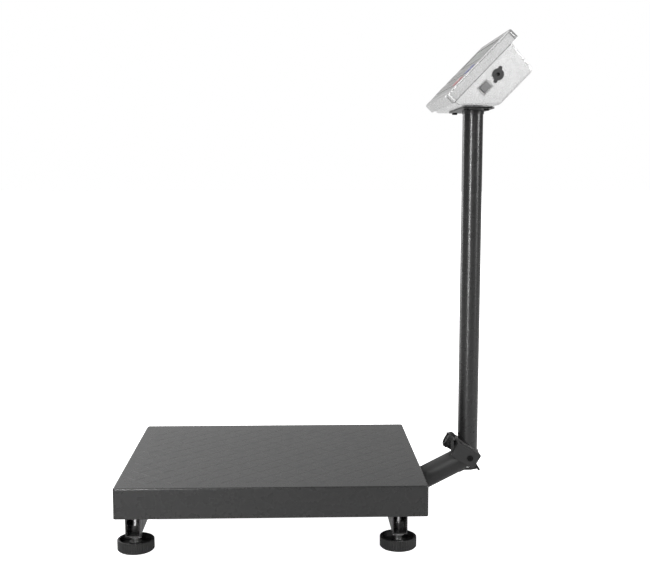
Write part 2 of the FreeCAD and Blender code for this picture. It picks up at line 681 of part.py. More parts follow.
def pole_top_plate():
    plate = Piece("pole_top_plate")
    plate.box(("-seat_half", "seat_half"), ("seat_front", "seat_rear"),
              ("pole_top", "pole_top + seat_thick"))
    plate.round_edges("4", lambda e, c: abs(e.Length - number("seat_thick")) < 0.1)
    plate.rod("collar_radius", ("0", "pin_y", "pole_top - collar_tall"), "collar_tall")
    plate.rod("pole_radius + collar_gap", ("0", "pin_y", "pole_top - collar_tall - 1"),
              "collar_tall + 1", cut=True)
    plate.rod("seat_port", ("0", "cable_rise_y", "pole_top - 1"), "seat_thick + 2", cut=True)
    for x, y in SEAT_SCREWS:
        plate.rod("seat_screw + bolt_gap", (x, y, "pole_top - 1"), "seat_thick + 2", cut=True)
    plate.done()
    screws = [
        joined([
            bar("seat_screw_head", (x, y, "pole_top - seat_screw_tall"), "seat_screw_tall"),
            bar("seat_screw", (x, y, "pole_top - 1"), "seat_screw_up + 1"),
        ])
        for x, y in SEAT_SCREWS
    ]
    group("top_plate_screws", screws)


SEAT_SCREWS = [
    (x, y)
    for x in ("-seat_screw_x", "seat_screw_x")
    for y in ("seat_screw_front", "seat_screw_back")
]
BOSSES = [(x, y) for x in ("-boss_x", "boss_x") for y in ("boss_low", "boss_high")]


# ----------------------------------------------------------------- indicator head

def rear_shell():
    """The moulded back of the head, open towards the bezel."""
    shell = Piece("rear_shell", HEAD)
    wall = "shell_wall"
    front = "-bezel_deep"
    shell.pad("YZ_Plane", [
        ("shell_top_y", front), ("shell_back_y", "-shell_back"), ("shell_low_y", "-shell_back"),
        ("shell_toe_y", "-shell_toe"), ("shell_end_y", front),
    ], "shell_half")
    long = 2 * number("shell_half")
    shell.round_edges("shell_round", lambda e, c: abs(e.Length - long) < 0.1 and c.z < -30)
    shell.round_edges(
        "shell_side_round",
        lambda e, c: abs(abs(c.x) - number("shell_half")) < 0.1 and c.z < number(front) - 1,
    )
    shell.pad("YZ_Plane", [
        (f"shell_top_y - {wall}", f"{front} + 1"), (f"shell_back_y - {wall}", f"-shell_back + {wall}"),
        ("shell_low_y + 1", f"-shell_back + {wall}"), (f"shell_toe_y + {wall}", "-shell_toe + 1"),
        (f"shell_end_y + {wall}", f"{front} + 1"),
    ], f"shell_half - {wall}", cut=True)
    for x, y in BOSSES:
        deep = "shell_back - 1" if y == "boss_high" else "column_deep"
        shell.rod("column_radius", (x, y, f"-({deep})"), f"({deep}) - screw_seat + 2.2")
        shell.rod("screw_radius + screw_gap", (x, y, "-40"), "30", cut=True)
        shell.rod("well_radius", (x, y, "-90"), "90 - screw_seat", cut=True)
    side = f"shell_half - {wall} - 1"
    shell.box(
        (side, "shell_half + 1"),
        ("switch_y - rocker_y / 2 - 2", "switch_y + rocker_y / 2 + 2"),
        ("-switch_z - rocker_z / 2 - 2", "-switch_z + rocker_z / 2 + 2"),
        cut=True,
    )
    shell.rod("socket_body + fit_gap", (side, "socket_y", "-socket_z"), "6", ALONG_X, cut=True)
    down = FreeCAD.Rotation(ACROSS, -number("head_tilt"))
    for x, y in SEAT_SCREWS:
        hole = spot(HEAD, (number(x), number(y), number("pole_top")))
        shell.rod("seat_screw + bolt_gap", hole, "12", down, cut=True)
    hole = spot(HEAD, (0, number("cable_rise_y"), number("pole_top")))
    shell.rod("cable_port", hole, "12", down, cut=True)
    shell.done()


def key_spots():
    return [
        (row * 7 + column, f"({column} - 3) * key_pitch_x", f"key_row - {row} * key_pitch_y")
        for row in range(2)
        for column in range(7)
    ]


def around(x, y, wide, tall):
    return (f"{x} - {wide} / 2", f"{x} + {wide} / 2"), (f"{y} - {tall} / 2", f"{y} + {tall} / 2")


WINDOW = (("-window_half", "window_half"), ("window_low", "window_high"))


def front_bezel():
    """The moulded front: a rim, a thin face with its openings, and four screw bosses."""
    bezel = Piece("front_bezel", HEAD)
    wall = "shell_wall"
    bezel.box(("-bezel_half", "bezel_half"), ("-bezel_up", "bezel_up"), ("-bezel_deep", "0"))
    bezel.round_edges("bezel_corner", lambda e, c: abs(e.Length - number("bezel_deep")) < 0.1)
    bezel.round_edges("bezel_edge", lambda e, c: abs(c.z) < 0.1)
    bezel.box(
        (f"-shell_half + {wall}", f"shell_half - {wall}"),
        (f"shell_end_y + {wall}", f"shell_top_y - {wall}"),
        ("-bezel_deep - 1", "-bezel_skin"),
        cut=True,
    )
    bezel.box(("-film_half", "film_half"), ("-film_up", "film_up"), ("-film_thick", "1"), cut=True)
    bezel.box(*WINDOW, ("-film_thick - window_thick", "1"), cut=True)
    bezel.box(
        ("-window_half + window_ledge", "window_half - window_ledge"),
        ("window_low + window_ledge", "window_high - window_ledge"),
        ("-10", "1"),
        cut=True,
    )
    for index, x, y in key_spots():
        bezel.box(*around(x, y, "key_wide", "key_tall"), ("-10", "1"), cut=True)
    for x, y in BOSSES:
        bezel.rod("boss_radius", (x, y, "-screw_seat + 2.3"), "screw_seat - 2.3 - bezel_skin + 1")
        bezel.rod("screw_radius + thread_gap", (x, y, "-screw_seat"), "screw_seat - screw_tip + 0.5",
                  cut=True)
    bezel.done()


def face():
    """The printed panel, the window and the keys."""
    gap = "fit_gap"
    panel = Piece("keypad_panel", HEAD)
    panel.box(
        (f"-film_half + {gap}", f"film_half - {gap}"), (f"-film_up + {gap}", f"film_up - {gap}"),
        ("-film_thick", "0"),
    )
    panel.box(*WINDOW, ("-2", "1"), cut=True)
    for index, x, y in key_spots():
        panel.box(*around(x, y, "key_wide", "key_tall"), ("-2", "1"), cut=True)
    panel.done()
    window = Piece("display_window", HEAD)
    window.box(
        (f"-window_half + {gap}", f"window_half - {gap}"),
        (f"window_low + {gap}", f"window_high - {gap}"),
        ("-film_thick - window_thick", "-0.2"),
    )
    window.done()
    for index, x, y in key_spots():
        here = HEAD.multiply(FreeCAD.Placement(
            FreeCAD.Vector(number(x), number(y), 0), FreeCAD.Rotation()
        ))
        key = Piece("key_" + KEY_NAMES[index], here)
        wide, tall = "(key_wide - 2 * key_gap)", "(key_tall - 2 * key_gap)"
        key.box(*around("0", "0", wide, tall), ("-bezel_skin - key_gap", "key_proud"))
        key.round_edges("key_round", lambda e, c: abs(e.Vertexes[0].Z - e.Vertexes[-1].Z) > 3)
        key.round_edges("0.6", lambda e, c: abs(c.z - number("key_proud")) < 0.05)
        key.box(
            *around("0", "0", "(key_wide + key_flange)", "(key_tall + key_flange)"),
            ("-bezel_skin - key_gap - key_flange_thick", "-bezel_skin - key_gap"),
        )
        key.rod("key_stem", ("0", "0", "-key_sink"), "key_sink - bezel_skin")
        key.done()


KEY_NAMES = ["1", "2", "3", "4", "5", "point", "zero_set", "6", "7", "8", "9", "0", "clear", "tare"]


def electronics():
    """The board with its switches, the display and the battery."""
    board = Piece("main_board", HEAD)
    back = "-board_front - board_thick"
    board.box(("-board_half", "board_half"), ("board_low", "board_high"), (back, "-board_front"))
    for index, x, y in key_spots():
        board.box(*around(x, y, "(2 * tact_half)", "(2 * tact_half)"),
                  ("-board_front - 1", "-board_front + tact_tall"))
    board.box(("-header_half", "header_half"), ("header_y - header_half", "header_y + header_half"),
              (f"{back} - header_tall", "-board_front"))
    board.done()
    module = Piece("display_module", HEAD)
    module.box(("-module_half", "module_half"), ("window_low + 4", "window_high - 4"),
               ("-board_front", "-module_front"))
    module.done()
    battery = Piece("battery", HEAD)
    battery.box(*around("battery_x", "battery_y", "battery_wide", "battery_up"),
                ("-battery_front - battery_deep", "-battery_front"))
    for x in ("battery_x - 30", "battery_x + 30"):
        battery.box((f"{x} - 3", f"{x} + 3"), ("battery_y + 15", "battery_y + 17"),
                    ("-battery_front - 1", "-battery_front + 5"))
    battery.done()


def shell_screws():
    """Four screws driven from behind, at the bottom of their wells."""
    screws = []
    for x, y in BOSSES:
        screws.append(joined([
            bar("screw_head", (x, y, "-screw_seat - screw_head_tall"), "screw_head_tall"),
            bar("screw_radius", (x, y, "-screw_seat - 1"), "screw_seat + 1 - screw_tip"),
        ]))
    group("shell_screws", screws).Placement = HEAD


def power_switch():
    """A rocker in its frame, on the right-hand side of the head."""
    body = Piece("switch_body", HEAD)
    body.box(
        ("shell_half", "shell_half + switch_proud"),
        *around("switch_y", "-switch_z", "switch_frame_y", "switch_frame_z"),
    )
    body.box(
        ("shell_half - switch_deep", "shell_half + 0.5"),
        *around("switch_y", "-switch_z", "(rocker_y + 3)", "(rocker_z + 3)"),
    )
    body.box(
        ("shell_half - rocker_sunk - 3", "shell_half + 5"),
        *around("switch_y", "-switch_z", "(rocker_y + 2 * rocker_gap)", "(rocker_z + 2 * rocker_gap)"),
        cut=True,
    )
    body.rod(
        "trunnion + pin_gap", ("shell_half - rocker_pin", "switch_y", "-switch_z - rocker_z / 2 - 2"),
        "rocker_z + 4", cut=True,
    )
    body.done()
    pivot = HEAD.multiply(FreeCAD.Placement(
        FreeCAD.Vector(
            number("shell_half - rocker_pin"), number("switch_y"), -number("switch_z"),
        ),
        FreeCAD.Rotation(UP, number("rocker_tilt")),
    ))
    rocker = Piece("switch_rocker", pivot)
    deep, root = "rocker_pin - rocker_sunk", "rocker_pin - 1"
    crown, valley = "rocker_pin + rocker_proud + 1", "rocker_pin + rocker_proud"
    rocker.pad("XY_Plane", [
        (deep, "-3"), (root, "-rocker_y / 2"), (crown, "-rocker_y / 2"), (valley, "0"),
        (crown, "rocker_y / 2"), (root, "rocker_y / 2"), (deep, "3"),
    ], "rocker_z / 2")
    reach = "rocker_z / 2 + rocker_gap + trunnion_in"
    rocker.rod("trunnion", ("0", "0", f"-({reach})"), f"2 * ({reach})")
    rocker.done()


def charge_socket():
    """The charging inlet: a round nose on a two-eared flange."""
    socket = Piece("charge_socket", HEAD)
    at = ("shell_half", "socket_y", "-socket_z")
    socket.rod("socket_radius", at, "socket_proud", ALONG_X)
    for sign in ("+", "-"):
        socket.rod("ear_radius", ("shell_half", f"socket_y {sign} ear_y", f"-socket_z {sign} ear_z"),
                   "ear_proud", ALONG_X)
    socket.rod("socket_body", ("shell_half - socket_deep", at[1], at[2]), "socket_deep + 1", ALONG_X)
    socket.rod("socket_bore", ("shell_half - 9", at[1], at[2]), "20", ALONG_X, cut=True)
    socket.rod("socket_pin", ("shell_half - 9.5", at[1], at[2]), "9", ALONG_X)
    socket.done()


# ------------------------------------------------------------------- signal cable

def bent_run(label, corners, bend):
    """A round cable through the corners of a path, every corner rounded to the same bend."""
    points = [FreeCAD.Vector(0, y, z) for y, z in corners]
    edges = []
    start = points[0]
    for before, corner, after in zip(points, points[1:], points[2:]):
        back = (before - corner).normalize()
        onward = (after - corner).normalize()
        half = back.getAngle(onward) / 2
        reach = bend / math.tan(half)
        enter = corner + back * reach
        leave = corner + onward * reach
        middle = (back + onward).normalize()
        crown = corner + middle * (bend / math.sin(half) - bend)
        edges.append(Part.makeLine(start, enter))
        edges.append(Part.Arc(enter, crown, leave).toShape())
        start = leave
    edges.append(Part.makeLine(start, points[-1]))
    path = Part.Wire(edges)
    radius = number("cable_radius")
    section = Part.Wire(Part.makeCircle(radius, points[0], points[1] - points[0]))
    cable = doc.addObject("Part::Feature", "Cable")
    cable.Shape = path.makePipeShell([section], True, True)
    expected = math.pi * radius ** 2 * path.Length
    if abs(cable.Shape.Volume / expected - 1) > 0.01:
        raise RuntimeError(f"{label}: volume {cable.Shape.Volume:.0f}, expected {expected:.0f}")
    return keep(cable, label)


def signal_cable():
    """From the load cell through the stub tube, the joint and the column to the board."""
    rake = math.radians(number("stub_rise"))
    low, rise_y = number("cable_low"), number("cable_rise_y")
    turn_y = number("rear_tube + tube_wide / 2 + 3")
    bend = number("cable_bend")

    def raked(y):
        return (y, low + (y - turn_y) * math.tan(rake))

    split = raked(number("cable_rise_y") - 34)
    column = 150
    cell_end = number("tray_mid + cell_long / 2")
    bent_run("signal_cable_lower", [
        (cell_end, number("cable_exit")), (cell_end + 50, number("cable_exit")),
        (cell_end + 80, low), (turn_y, low), split,
    ], bend)
    bent_run("signal_cable_hinge", [split, raked(rise_y), (rise_y, column)], bend)
    header = HEAD.multVec(FreeCAD.Vector(
        0, number("header_y"), -number("board_front + board_thick + header_tall")
    ))
    out = HEAD.Rotation.multVec(UP)
    back = (rise_y - header.y) / out.y
    top = header + out * back
    bent_run("signal_cable_upper", [(rise_y, column), (top.y, top.z), (header.y, header.z)], 14)


# ------------------------------------------------------------------------ assembly

platform_tray()
cross_tube("cross_tube_front", "front_tube")
cross_tube("cross_tube_rear", "rear_tube")
base_beam()
feet()
load_cell()
cell_bolts()
upper_frame()
stub_tube()
fold_stop()
lower_bracket()
upper_bracket()
hinge_pin()
lock()
pole()
pole_top_plate()
rear_shell()
front_bezel()
face()
electronics()
shell_screws()
power_switch()
charge_socket()
signal_cable()

doc.recompute()
for item in doc.Objects:
    if "Invalid" in item.State or "Error" in item.State:
        raise RuntimeError(f"{item.Name}: {item.State}")
os.makedirs("parts", exist_ok=True)
for item in nodes:
    if item.Shape.isNull() or not item.Shape.isValid():
        raise RuntimeError(f"{item.Label}: the shape is not valid")
    size = item.Shape.optimalBoundingBox(True, False)
    print(item.Label, len(item.Shape.Solids), round(item.Shape.Volume), size)
for item in nodes:
    item.Shape.exportStep(f"parts/{item.Label}.step")
whole = Part.makeCompound([item.Shape for item in nodes]).optimalBoundingBox(True, False)
print(len(nodes), "nodes; middle", round(whole.Center.y, 2), whole)
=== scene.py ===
import json
import math
import random

import bmesh
import bpy
from mathutils import Matrix, Vector

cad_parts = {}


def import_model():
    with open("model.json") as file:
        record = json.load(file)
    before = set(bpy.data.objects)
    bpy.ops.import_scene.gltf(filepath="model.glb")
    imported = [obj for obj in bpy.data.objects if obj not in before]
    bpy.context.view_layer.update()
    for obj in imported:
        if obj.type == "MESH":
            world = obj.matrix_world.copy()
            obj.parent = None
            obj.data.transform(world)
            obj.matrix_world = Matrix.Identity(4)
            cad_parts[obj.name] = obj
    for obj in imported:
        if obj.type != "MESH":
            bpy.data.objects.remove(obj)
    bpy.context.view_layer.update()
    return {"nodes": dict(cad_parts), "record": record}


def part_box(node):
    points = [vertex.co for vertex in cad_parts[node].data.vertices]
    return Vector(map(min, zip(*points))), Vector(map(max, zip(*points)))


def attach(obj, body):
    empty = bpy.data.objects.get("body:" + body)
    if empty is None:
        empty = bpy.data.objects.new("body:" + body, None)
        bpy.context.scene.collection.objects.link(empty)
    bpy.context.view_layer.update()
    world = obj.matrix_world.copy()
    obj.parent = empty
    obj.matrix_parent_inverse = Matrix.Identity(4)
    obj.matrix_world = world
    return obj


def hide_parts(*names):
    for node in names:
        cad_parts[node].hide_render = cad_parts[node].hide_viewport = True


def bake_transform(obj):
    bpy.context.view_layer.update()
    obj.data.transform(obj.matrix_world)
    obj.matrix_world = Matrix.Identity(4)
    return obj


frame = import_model()
NODES = frame["nodes"]
MM = 0.001
MITRE = math.radians(31)
TILT = math.radians(46)
PIN = sum(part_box("hinge_pin_ring"), Vector((0, 0, 0))) / 2
PIN.x = 0
TRAY_MID = sum(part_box("platform_tray"), Vector((0, 0, 0))) / 2
SLOPE = Matrix.Rotation(TILT, 4, "X")
HEAD = (
    Matrix.Translation(sum(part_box("keypad_panel"), Vector((0, 0, 0))) / 2)
    @ SLOPE @ Matrix.Translation((0, 0, 0.5 * MM))
)


# ------------------------------------------------------------------ materials

class Look:
    """A node material round one Principled shader."""

    def __init__(self, name, rough=0.4, metal=0.0, coat=0.0, spec=0.5):
        self.material = bpy.data.materials.new(name)
        self.material.use_nodes = True
        self.tree = self.material.node_tree
        self.shader = self.tree.nodes["Principled BSDF"]
        self.shader.inputs["Roughness"].default_value = rough
        self.shader.inputs["Metallic"].default_value = metal
        self.shader.inputs["Coat Weight"].default_value = coat
        self.shader.inputs["Specular IOR Level"].default_value = spec
        self.where = self.tree.nodes.new("ShaderNodeTexCoord").outputs["Object"]

    def link(self, a, b):
        self.tree.links.new(a, b)

    def node(self, kind, **values):
        item = self.tree.nodes.new(kind)
        for key, value in values.items():
            item.inputs[key].default_value = value
        return item

    def noise(self, scale, detail=3.0, rough=0.55):
        item = self.node("ShaderNodeTexNoise", Scale=scale, Detail=detail, Roughness=rough)
        self.link(self.where, item.inputs["Vector"])
        return item.outputs["Fac"]

    def cells(self, scale):
        item = self.node("ShaderNodeTexVoronoi", Scale=scale)
        self.link(self.where, item.inputs["Vector"])
        return item.outputs["Distance"]

    def ramp(self, source, *stops):
        item = self.tree.nodes.new("ShaderNodeValToRGB")
        ramp = item.color_ramp
        while len(ramp.elements) < len(stops):
            ramp.elements.new(0.5)
        for element, (at, colour) in zip(ramp.elements, stops):
            element.position = at
            element.color = (*colour, 1)
        self.link(source, item.inputs["Fac"])
        return item.outputs["Color"]

    def range(self, source, low, high):
        item = self.node("ShaderNodeMapRange", **{"To Min": low, "To Max": high})
        self.link(source, item.inputs["Value"])
        return item.outputs["Result"]

    def colour(self, output):
        self.link(output, self.shader.inputs["Base Color"])
        return self

    def rough(self, output):
        self.link(output, self.shader.inputs["Roughness"])
        return self

    def bumps(self, *layers):
        """Bump layers from coarse to fine: (height output, strength, depth in metres)."""
        before = None
        for height, strength, depth in layers:
            item = self.node("ShaderNodeBump", Strength=strength, Distance=depth)
            self.link(height, item.inputs["Height"])
            if before:
                self.link(before, item.inputs["Normal"])
            before = item.outputs["Normal"]
        self.link(before, self.shader.inputs["Normal"])
        return self


def grey(value, warm=0.0):
    """A neutral colour; warm above zero leans to red, below zero to blue."""
    return (value * (1 + warm), value, value * (1 - warm))


def powder_coat(name, dark, light, rough, spec=0.4):
    """Sprayed enamel: a fine orange peel, a slow drift of tone and faint rubbed spots."""
    look = Look(name, spec=spec)
    drift = look.noise(6, 4)
    look.colour(look.ramp(drift, (0.3, grey(dark)), (0.72, grey(light))))
    look.rough(look.range(look.noise(45, 5), rough - 0.07, rough + 0.08))
    look.bumps((look.noise(160, 2), 0.025, 0.0003), (look.noise(900, 2), 0.05, 0.0001))
    return look.material


def silver(name, dark, light, rough, metal):
    """Silver lacquer on moulded plastic: fine flake under a satin skin."""
    look = Look(name, metal=metal, spec=0.3, coat=0.15)
    look.shader.inputs["Coat Roughness"].default_value = 0.2
    look.colour(look.ramp(look.noise(14, 5), (0.3, grey(dark)), (0.7, grey(light))))
    look.rough(look.range(look.noise(120, 4), rough - 0.05, rough + 0.07))
    look.bumps((look.noise(1400, 3), 0.07, 0.00006), (look.cells(2100), 0.04, 0.00006))
    return look.material


def moulded(name, dark, light, rough, coat=0.0):
    """Moulded plastic with spark-eroded grain and slight flow mottle."""
    look = Look(name, coat=coat)
    look.shader.inputs["Coat Roughness"].default_value = 0.22
    look.colour(look.ramp(look.noise(14, 5), (0.3, dark), (0.7, light)))
    look.rough(look.range(look.noise(120, 4), rough - 0.06, rough + 0.07))
    depth = 0.0001
    look.bumps((look.noise(1400, 3), 0.2, depth), (look.cells(2100), 0.1, depth))
    return look.material


def plated(name, dark, light, rough=0.25):
    """Zinc plate: bright, faintly spangled, with dull patches."""
    look = Look(name, metal=1.0)
    look.colour(look.ramp(look.cells(300), (0.1, grey(dark, -0.01)), (0.8, grey(light, 0.01))))
    look.rough(look.range(look.noise(220, 5), rough - 0.06, rough + 0.18))
    look.bumps((look.noise(700, 3), 0.15, 0.0001), (look.noise(2600, 2), 0.1, 0.00005))
    return look.material


def rubber(name, tone, rough=0.62):
    """Dull rubber, paler where it is dusty."""
    look = Look(name, spec=0.35)
    look.colour(look.ramp(look.noise(35, 6), (0.3, grey(tone * 0.8)), (0.75, grey(tone * 1.5))))
    look.rough(look.range(look.noise(90, 4), rough - 0.1, rough + 0.12))
    look.bumps((look.noise(420, 4), 0.3, 0.0003), (look.noise(1800, 3), 0.2, 0.0001))
    return look.material


def machined(name):
    """Milled alloy with fine parallel tool marks."""
    look = Look(name, metal=1.0)
    marks = look.node("ShaderNodeTexWave", Scale=260, Distortion=1.5, Detail=3)
    marks.bands_direction = "Y"
    look.link(look.where, marks.inputs["Vector"])
    look.colour(look.ramp(look.noise(60), (0.3, grey(0.55)), (0.7, grey(0.68))))
    look.rough(look.range(marks.outputs["Fac"], 0.26, 0.42))
    look.bumps((marks.outputs["Fac"], 0.12, 0.0001))
    return look.material


def printed_film(name):
    """Polyester film: pearl grey with a fine hammered grain."""
    look = Look(name, coat=0.25)
    look.shader.inputs["Coat Roughness"].default_value = 0.3
    look.colour(look.ramp(look.noise(25, 5), (0.35, grey(0.20)), (0.65, grey(0.25))))
    look.rough(look.range(look.noise(300, 3), 0.34, 0.46))
    look.bumps((look.cells(1300), 0.22, 0.00012))
    return look.material


def clear_window(name):
    """Clear acrylic with a faint green cast."""
    look = Look(name, rough=0.08)
    look.shader.inputs["Transmission Weight"].default_value = 0.92
    look.shader.inputs["IOR"].default_value = 1.49
    look.colour(look.ramp(look.noise(12), (0.3, (0.72, 0.78, 0.74)), (0.7, (0.8, 0.85, 0.82))))
    look.bumps((look.noise(400), 0.03, 0.0001))
    return look.material


def display_glass(name):
    """The lit panel of a liquid-crystal display, with its fine reflector grain."""
    look = Look(name, rough=0.3)
    look.colour(look.ramp(
        look.noise(700, 2), (0.3, (0.33, 0.42, 0.28)), (0.7, (0.38, 0.48, 0.32)),
    ))
    look.bumps((look.noise(1500), 0.08, 0.0001))
    return look.material


def circuit_board(name):
    """Green solder mask over copper, with pads showing through."""
    look = Look(name, coat=0.3)
    look.colour(look.ramp(
        look.cells(260), (0.12, (0.02, 0.12, 0.05)), (0.16, (0.012, 0.07, 0.03)),
    ))
    look.rough(look.range(look.noise(200), 0.3, 0.5))
    look.bumps((look.cells(260), 0.2, 0.0001))
    return look.material


LOOKS = {
    "charcoal_paint": powder_coat("charcoal_enamel", 0.013, 0.018, 0.27),
    "black_steel": powder_coat("black_enamel", 0.006, 0.010, 0.42),
    "zinc": plated("bright_zinc", 0.52, 0.72),
    "foot_rubber": rubber("foot_rubber", 0.012, 0.5),
    "pad_rubber": rubber("rest_rubber", 0.02),
    "cell_alloy": machined("milled_alloy"),
    "black_plastic": moulded("black_plastic", grey(0.008), grey(0.016), 0.36),
    "switch_frame": moulded("switch_grey", grey(0.42), grey(0.48), 0.4),
    "shell_plastic": silver("silver_plastic", 0.50, 0.54, 0.26, 0.85),
    "panel_film": printed_film("pearl_film"),
    "key_plastic": moulded("key_grey", grey(0.26), grey(0.31), 0.42),
    "window_clear": clear_window("window"),
    "display_dark": display_glass("display_panel"),
    "board_green": circuit_board("circuit_board"),
    "cable_jacket": rubber("cable_jacket", 0.03, 0.5),
}
KEY_RED = moulded("key_red", (0.38, 0.14, 0.15), (0.44, 0.17, 0.18), 0.42)
KEY_BLUE = moulded("key_blue", (0.14, 0.15, 0.30), (0.17, 0.18, 0.35), 0.42)
# Near-black colour for the strip round the bezel-shell seam: painted shade in that groove.
SEAM_SHADE = rubber("seam_shade_dark", 0.02)
INK = moulded("print_ink", grey(0.010), grey(0.018), 0.5)
WHITE_INK = moulded("white_ink", grey(0.75), grey(0.82), 0.5)
SEGMENT = moulded("segment_black", grey(0.012), grey(0.02), 0.35)
WELD = plated("painted_weld", 0.045, 0.07, 0.4)
WELD.node_tree.nodes["Principled BSDF"].inputs["Metallic"].default_value = 0.2
ROCKER = moulded("rocker_grey", grey(0.19), grey(0.24), 0.32)
SOCKET = moulded("socket_black", grey(0.006), grey(0.011), 0.3, coat=0.3)
BATTERY = moulded("battery_case", grey(0.02), grey(0.03), 0.45)
SPACER = plated("mild_plate", 0.32, 0.42, 0.4)

SLOT_OF = {item["node"]: item["material_slot"] for item in frame["record"]["subparts"]}
MATT_ENAMEL = powder_coat("matt_enamel", 0.016, 0.024, 0.48, 0.3)
BLACKENED = powder_coat("blackened_steel", 0.002, 0.004, 0.45, 0.12)
KNOB = moulded("knob_black", grey(0.002), grey(0.004), 0.45)
KNOB.node_tree.nodes["Principled BSDF"].inputs["Specular IOR Level"].default_value = 0.25
BEZEL = silver("silver_bezel", 0.40, 0.44, 0.26, 0.85)
SPECIAL = {
    "front_bezel": BEZEL,
    "hinge_pin": BLACKENED, "hinge_pin_ring": BLACKENED, "top_plate_screws": BLACKENED,
    "lock_knob": KNOB, "lock_screw": BLACKENED, "lock_washer": BLACKENED,
    "stub_tube": MATT_ENAMEL, "lower_hinge_bracket": MATT_ENAMEL,
    "upper_hinge_bracket": MATT_ENAMEL, "fold_stop_rod": MATT_ENAMEL,
    "key_tare": KEY_RED, "key_zero_set": KEY_BLUE, "switch_rocker": ROCKER,
    "charge_socket": SOCKET, "battery": BATTERY,
    "cell_spacer_lower": SPACER, "cell_spacer_upper": SPACER,
}
for name, item in NODES.items():
    material = SPECIAL.get(name) or LOOKS[SLOT_OF[name]]
    item.data.materials.clear()
    item.data.materials.append(material)


# ------------------------------------------------------------------ mesh helpers

def piece(name, mesh, material, body, smooth=False):
    """A new visible object that rides on a body."""
    item = bpy.data.objects.new(name, mesh)
    bpy.context.scene.collection.objects.link(item)
    mesh.materials.append(material)
    for face in mesh.polygons:
        face.use_smooth = smooth
    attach(item, body)
    return item


def from_bmesh(name, build):
    """A mesh filled by build, its faces turned outwards."""
    made = bmesh.new()
    build(made)
    bmesh.ops.recalc_face_normals(made, faces=made.faces)
    mesh = bpy.data.meshes.new(name)
    made.to_mesh(mesh)
    made.free()
    return mesh


def prism(made, outline, low, high, matrix, shrink=1.0):
    """A closed block over a flat outline, its top drawn in about its middle."""
    middle = sum((Vector(p) for p in outline), Vector((0, 0))) / len(outline)
    base = [made.verts.new(matrix @ Vector((x, y, low))) for x, y in outline]
    top = []
    for x, y in outline:
        at = middle + (Vector((x, y)) - middle) * shrink
        top.append(made.verts.new(matrix @ Vector((at.x, at.y, high))))
    made.faces.new(top)
    made.faces.new(list(reversed(base)))
    count = len(outline)
    for i in range(count):
        j = (i + 1) % count
        made.faces.new((base[i], base[j], top[j], top[i]))


def tube(made, points, radius, sides, lumps, closed, rng):
    """A round bead through points; lumps gives it the ripple of a weld."""
    rings = []
    count = len(points)
    for i, point in enumerate(points):
        before = points[i - 1] if closed or i else points[0]
        after = points[(i + 1) % count] if closed or i < count - 1 else points[-1]
        along = (after - before).normalized()
        side = along.orthogonal().normalized()
        other = along.cross(side)
        size = radius * (1 + lumps * rng.uniform(-1, 1))
        rings.append([
            made.verts.new(point + (side * math.cos(a) + other * math.sin(a)) * size)
            for a in (2 * math.pi * k / sides for k in range(sides))
        ])
    following = rings[1:] + (rings[:1] if closed else [])
    for first, second in zip(rings, following):
        shift = min(range(sides), key=lambda s: (second[s].co - first[0].co).length)
        for k in range(sides):
            made.faces.new((
                first[k], first[(k + 1) % sides],
                second[(k + 1 + shift) % sides], second[(k + shift) % sides],
            ))
    if not closed:
        made.faces.new(list(reversed(rings[0])))
        made.faces.new(rings[-1])


# ------------------------------------------------------------------ embossed tray

def tray_tread():
    """Low lozenges pressed into the top of the tray."""
    low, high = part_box("platform_tray")
    middle = (low + high) / 2
    half = 20 * MM
    fill = 0.93
    margin = 9 * MM
    sunk = 0.4 * MM
    lift = 0.14 * MM
    top_share = 0.8

    def build(made):
        rows = int((high.y - low.y) / half) + 1
        columns = int((high.x - low.x) / half) + 1
        for row in range(-rows, rows):
            for column in range(-columns, columns):
                if (row + column) % 2:
                    continue
                x = middle.x + column * half
                y = middle.y + row * half
                inside = (
                    low.x + margin < x - half and x + half < high.x - margin
                    and low.y + margin < y - half and y + half < high.y - margin
                )
                if not inside:
                    continue
                outline = [
                    (x - half * fill, y), (x, y - half * fill),
                    (x + half * fill, y), (x, y + half * fill),
                ]
                prism(made, outline, high.z - sunk, high.z + lift, Matrix.Identity(4), top_share)

    piece("tray_tread", from_bmesh("tray_tread", build), LOOKS["charcoal_paint"],
          "tray")


# ------------------------------------------------------------------ welds

